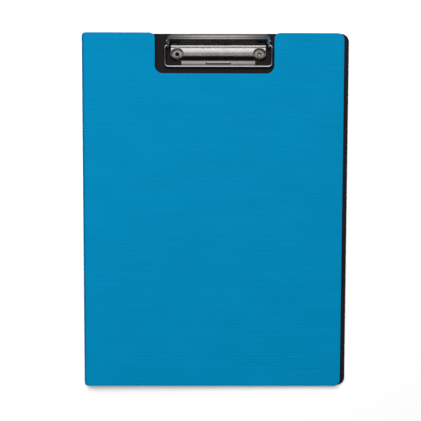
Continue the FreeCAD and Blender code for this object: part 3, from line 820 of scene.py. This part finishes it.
# ------------------------------------------------------------ clip: wire jaw
WIRE_R, LEG_X, IN_X = 1.05, 47.75, 44.0
front, rear = (29.6, 1.92), (11.6, 3.75)
slope = math.atan2(rear[1] - front[1], front[0] - rear[0])
run = math.hypot(rear[1] - front[1], front[0] - rear[0])
corners = [(-IN_X, 0), (-LEG_X, 0), (-LEG_X, run), (LEG_X, run), (LEG_X, 0), (IN_X, 0)]
path = rounded(corners, [0, 1.8, 3.0, 3.0, 1.8, 0], 14)
dense = [path[0]]
for p in path[1:]:
    q = dense[-1]
    steps = max(1, int(math.hypot(p[0] - q[0], p[1] - q[1]) / 3.0))
    for k in range(1, steps + 1):
        dense.append((q[0] + (p[0] - q[0]) * k / steps, q[1] + (p[1] - q[1]) * k / steps))
wire_pts = [(CLIP_X + x, HALF_L - rear[0] - s * math.cos(slope), BACK_T + rear[1] - s * math.sin(slope)) for x, s in dense]
v, f = tube_data(wire_pts, WIRE_R, 28)
wire = dress(new_object("jaw_wire_bent", v, f, angle=40.0), "wire")
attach(wire, "press_lever")
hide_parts("wire_jaw")

# ------------------------------------------------- clip: rivets, washers, rod
floor_h = BACK_T + PLATE_T
for tag, side in (("left", -1), ("right", 1)):
    x, y = CLIP_X + side * 36.75, HALF_L - 19.0
    prof = rounded([(0.0, 0.42), (1.2, 0.42), (1.45, 0.06), (3.1, 0.06), (3.1, 0.42), (2.0, 0.42), (2.0, floor_h),
                    (2.95, floor_h), (3.0, floor_h + 0.42), (2.2, floor_h + 0.95), (1.5, floor_h + 0.62), (1.38, floor_h - 0.9), (0.0, floor_h - 1.05)],
                   [0, 0.1, 0.1, 0.12, 0, 0, 0, 0.1, 0.35, 0.4, 0.3, 0.15, 0], 5)
    rivet = dress(lathe("rivet_" + tag, prof, (x, y, 0), n=64, angle=40.0), "rivet")
    rivet.data.materials.append(MAT["hollow_" + tag])
    # the hollow's faces: on the left rivet painted near black as shade in the recess, on the right rivet a warm colour
    for poly in rivet.data.polygons:
        c = poly.center
        if c.z > 0.0012 and math.hypot(c.x - x * MM, c.y - y * MM) < 0.00142:
            poly.material_index = 1
    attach(rivet, "back_board")
    ring = rounded([(2.06, 0.43), (4.5, 0.43), (4.5, 0.93), (2.06, 0.93)], [0.08, 0.12, 0.12, 0.08], 4)
    washer = dress(lathe("washer_" + tag, ring, (x, y, 0), n=64), "rivet")
    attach(washer, "back_board")
    if side < 0:
        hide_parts("clip_rivets")
        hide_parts("rivet_washers")

PIVOT = (HALF_L - 7.6, BACK_T + 3.2)
HALF_ROD = 46.4
prof = rounded([(0, -HALF_ROD), (1.75, -HALF_ROD), (1.75, -HALF_ROD + 0.5), (1.1, -HALF_ROD + 0.5), (1.1, HALF_ROD - 0.5),
                (1.75, HALF_ROD - 0.5), (1.75, HALF_ROD), (0, HALF_ROD)], [0, 0.25, 0.12, 0.05, 0.05, 0.12, 0.25, 0], 4)
rod = dress(lathe("pivot_rod_headed", prof, (CLIP_X, PIVOT[0], PIVOT[1]), axis="X", n=40), "wire")
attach(rod, "back_board")
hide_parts("pivot_rod")

# ----------------------------------------------------------- torsion springs
TURNS, PITCH, MEAN_R, SPRING_X, SW = 5.3125, 0.95, 1.98, 31.0, 0.4
coils, arms = [], []
for side in (1, -1):
    def at(turn):
        a = 2 * math.pi * turn
        x = SPRING_X + TURNS * PITCH / 2 - PITCH * turn
        # starts under the rod, runs forward and up
        return (CLIP_X + side * x, PIVOT[0] - MEAN_R * math.sin(a), PIVOT[1] - MEAN_R * math.cos(a))

    start = at(0.0)
    tail = [(start[0], start[1] + k, start[2]) for k in (3.6, 2.4, 1.2)]
    body = tail + [at(t) for t in np.linspace(0, TURNS - 0.22, 130)]
    coils.append(tube_data(body, SW, 12, 0.12))
    end = np.array(at(TURNS))
    ahead = end - np.array(at(TURNS - 0.002))
    ahead /= np.linalg.norm(ahead)
    arm = [at(t) for t in np.linspace(TURNS - 0.30, TURNS, 10)] + [tuple(end + ahead * k) for k in (1.0, 2.0, 3.0)]
    arms.append(tube_data(arm, SW, 12, 0.12))
v, f = join_data(coils)
coil = dress(new_object("spring_coils", v, f, angle=45.0), "spring")
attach(coil, "back_board")
v, f = join_data(arms)
arm = dress(new_object("spring_arms", v, f, angle=45.0), "spring")
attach(arm, "press_lever")
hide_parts("torsion_springs")

# ------------------------------------------------------------- blank plate
def rounded_slab(name, cx, cy, w, h, r, layers, n=10):
    """Stacked rounded rectangles: layers are (inset, z)."""
    verts, faces, rings = [], [], []
    for inset, z in layers:
        ring = rounded([(-w / 2 + inset, -h / 2 + inset), (w / 2 - inset, -h / 2 + inset), (w / 2 - inset, h / 2 - inset), (-w / 2 + inset, h / 2 - inset)],
                       [max(r - inset, 0.05)] * 4, n)
        rings.append(list(range(len(verts), len(verts) + len(ring))))
        verts += [(cx + x, cy + y, z) for x, y in ring]
    for a, b in zip(rings, rings[1:]):
        m = len(a)
        for i in range(m):
            j = (i + 1) % m
            faces.append((a[i], a[j], b[j], b[i]))
    faces.append(tuple(rings[0])[::-1])
    faces.append(tuple(rings[-1]))
    return verts, faces


v, f = rounded_slab("blank", 83.0, -138.0, 32.0, 11.0, 1.6,
                    [(0.0, TOP_Z - 0.2), (0.0, TOP_Z - 0.03), (0.12, TOP_Z + 0.07), (0.35, TOP_Z + 0.13), (0.75, TOP_Z + 0.13), (1.05, TOP_Z + 0.02), (1.25, TOP_Z - 0.0), (1.6, TOP_Z - 0.0)])
blank = dress(new_object("blank_embossed_panel", lean(v), f, angle=50.0), "blue")
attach(blank, "front_cover")

# ------------------------------------------------------------ stage and light
def floor_material():
    m, nt, b = material("floor")
    n = noise(nt, 6.0, 2.0)
    col = ramp(nt, n.outputs["Fac"], [(0.3, (0.915, 0.915, 0.915)), (0.7, (0.925, 0.925, 0.925))])
    nt.links.new(col.outputs["Color"], b.inputs["Base Color"])
    b.inputs["Roughness"].default_value = 0.9
    b.inputs["Specular IOR Level"].default_value = 0.1
    return m


s = 3.0
mesh = bpy.data.meshes.new("floor")
mesh.from_pydata([(-s, -s, -0.0002), (s, -s, -0.0002), (s, s, -0.0002), (-s, s, -0.0002)], [], [(0, 1, 2, 3)])
floor = bpy.data.objects.new("floor", mesh)
bpy.context.scene.collection.objects.link(floor)
mesh.materials.append(floor_material())
floor.visible_glossy = False

world = bpy.data.worlds.new("studio")
bpy.context.scene.world = world
world.use_nodes = True
wn = world.node_tree
wn.nodes.clear()
wout = wn.nodes.new("ShaderNodeOutputWorld")
bg = wn.nodes.new("ShaderNodeBackground")
coord = wn.nodes.new("ShaderNodeTexCoord")
sep = wn.nodes.new("ShaderNodeSeparateXYZ")
wn.links.new(coord.outputs["Generated"], sep.inputs["Vector"])
half = wn.nodes.new("ShaderNodeMapRange")
half.inputs["From Min"].default_value = -1.0
half.inputs["From Max"].default_value = 1.0
wn.links.new(sep.outputs["Y"], half.inputs["Value"])
sky = wn.nodes.new("ShaderNodeValToRGB")
levels = [(-1.0, 0.02), (-0.60, 0.03), (-0.36, 0.08), (-0.16, 0.46), (0.02, 0.98), (0.20, 1.12), (0.45, 1.40), (0.80, 1.30), (0.92, 0.30), (1.0, 0.03)]
els = sky.color_ramp.elements
while len(els) < len(levels):
    els.new(0.5)
for e, (y, v) in zip(els, levels):
    e.position = (y + 1) / 2
    e.color = (v, v, v, 1.0)
wn.links.new(half.outputs["Result"], sky.inputs["Fac"])
wn.links.new(sky.outputs["Color"], bg.inputs["Color"])
reach = wn.nodes.new("ShaderNodeMath")
reach.operation = "ABSOLUTE"
wn.links.new(sep.outputs["X"], reach.inputs[0])
sides = wn.nodes.new("ShaderNodeMapRange")
sides.interpolation_type = "SMOOTHSTEP"
sides.inputs["From Min"].default_value = 0.12
sides.inputs["From Max"].default_value = 0.55
sides.inputs["To Min"].default_value = 1.0
sides.inputs["To Max"].default_value = 0.08
wn.links.new(reach.outputs["Value"], sides.inputs["Value"])
wn.links.new(sides.outputs["Result"], bg.inputs["Strength"])
wn.links.new(bg.outputs["Background"], wout.inputs["Surface"])


def area(name, loc, target, size, power, color=(1, 1, 1)):
    light = bpy.data.lights.new(name, "AREA")
    light.shape = "RECTANGLE"
    light.size, light.size_y = size
    light.energy = power
    light.color = color
    obj = bpy.data.objects.new(name, light)
    bpy.context.scene.collection.objects.link(obj)
    obj.location = loc
    obj.rotation_mode = "QUATERNION"
    obj.rotation_quaternion = (Vector(target) - Vector(loc)).to_track_quat("-Z", "Y")
    obj.visible_glossy = False
    return obj


area("key", (-0.30, 0.80, 1.20), (0.0, 0.05, 0.0), (0.9, 0.7), 17.4)
area("overhead", (-0.15, 0.10, 1.6), (0.0, 0.0, 0.0), (1.0, 1.0), 9.5)

# -------------------------------------------------------------------- camera
DIST, FOCAL = 600.0, 656.5
rx, ry, rz = (math.radians(a) for a in (3.317, -0.455, -0.16))
turn = Matrix.Rotation(rz, 3, "Z") @ Matrix.Rotation(ry, 3, "Y") @ Matrix.Rotation(rx, 3, "X")
shift = Vector((4.28, -0.95, 0.0))
cam_data = bpy.data.cameras.new("camera")
cam_data.sensor_width = 36.0
cam_data.lens = FOCAL / 421.0 * 36.0
cam_data.clip_start, cam_data.clip_end = 0.01, 50.0
camera = bpy.data.objects.new("camera", cam_data)
bpy.context.scene.collection.objects.link(camera)
camera.matrix_world = Matrix.Translation(turn.transposed() @ (Vector((0, 0, DIST)) - shift) * MM) @ turn.transposed().to_4x4()
bpy.context.scene.camera = camera
bpy.context.scene.view_settings.view_transform = "Standard"
